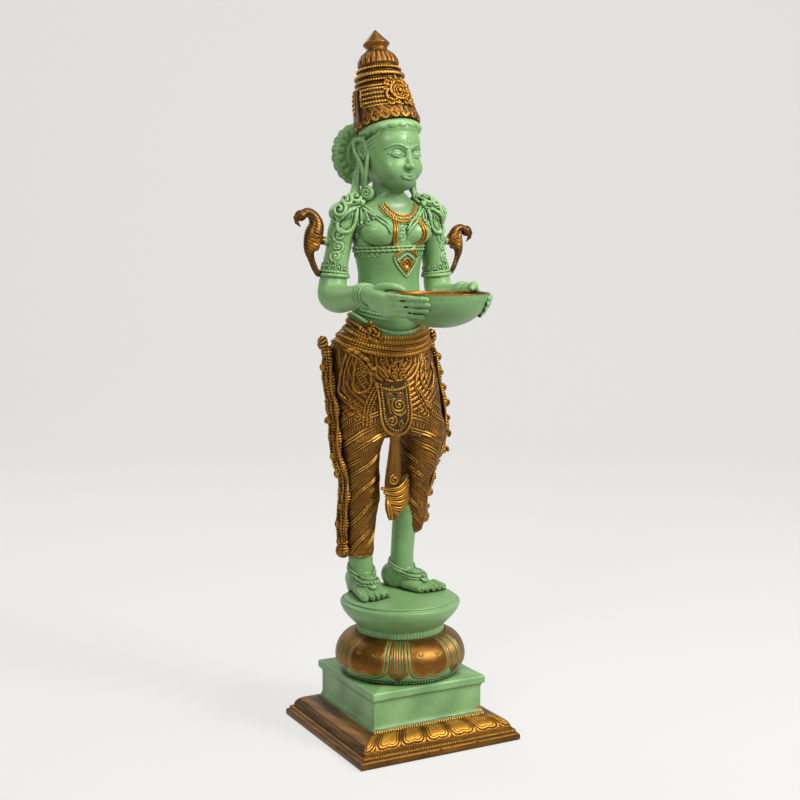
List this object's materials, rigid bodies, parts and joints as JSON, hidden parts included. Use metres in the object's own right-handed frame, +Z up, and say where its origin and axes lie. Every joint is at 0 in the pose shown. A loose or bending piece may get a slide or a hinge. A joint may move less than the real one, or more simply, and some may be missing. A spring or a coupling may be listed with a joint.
{
  "type": "figural oil lamp",
  "caption": "Standing lamp-bearer figure holding a shallow oil bowl in both hands, with parrots at the arms, a tall crown, draped legs and a lotus drum on a square base.",
  "frame": {"origin": "centre of the square base's underside, at floor level", "axes": "+Z up; the figure faces -Y and its right hand is on the -X side"},
  "size_m": [0.3462, 0.372, 1.2219],
  "materials": {
    "green_patina": "satin green patina paint over brass, darker in the recesses",
    "antique_bronze": "antiqued brass, dark brown in the recesses and rubbed bright on the edges",
    "gold_leaf": "rubbed orange gold",
    "steel_fixings": "plain turned steel"
  },
  "bodies": {
    "root": {"plinth_block": "green_patina", "footstand": "green_patina", "foot_plate": "green_patina", "right_foot": "green_patina", "left_foot": "green_patina", "right_anklet": "green_patina", "left_anklet": "green_patina", "torso": "green_patina", "bust_band": "green_patina", "right_epaulette": "green_patina", "left_epaulette": "green_patina", "right_upper_arm": "green_patina", "left_upper_arm": "green_patina", "right_armlet": "green_patina", "left_armlet": "green_patina", "right_forearm": "green_patina", "left_forearm": "green_patina", "right_bangles": "green_patina", "left_bangles": "green_patina", "oil_bowl": "green_patina", "head": "green_patina", "right_earring": "green_patina", "left_earring": "green_patina", "hair_wheel": "green_patina", "base_moulding": "antique_bronze", "lotus_drum": "antique_bronze", "right_leg_drape": "antique_bronze", "left_leg_drape": "antique_bronze", "hip_drape": "antique_bronze", "girdle": "antique_bronze", "girdle_clasp": "antique_bronze", "apron": "antique_bronze", "centre_sash": "antique_bronze", "right_side_sash": "antique_bronze", "left_side_sash": "antique_bronze", "right_hip_knot": "antique_bronze", "left_hip_knot": "antique_bronze", "right_parrot": "antique_bronze", "left_parrot": "antique_bronze", "crown": "antique_bronze", "necklace": "gold_leaf", "chest_chain": "gold_leaf", "pendant": "gold_leaf", "crown_crest": "gold_leaf", "crown_finial": "gold_leaf", "tie_rod": "steel_fixings", "tie_rod_nut": "steel_fixings", "tie_rod_washer": "steel_fixings", "foot_studs": "steel_fixings", "dowels": "steel_fixings"}
  },
  "joints": []
}
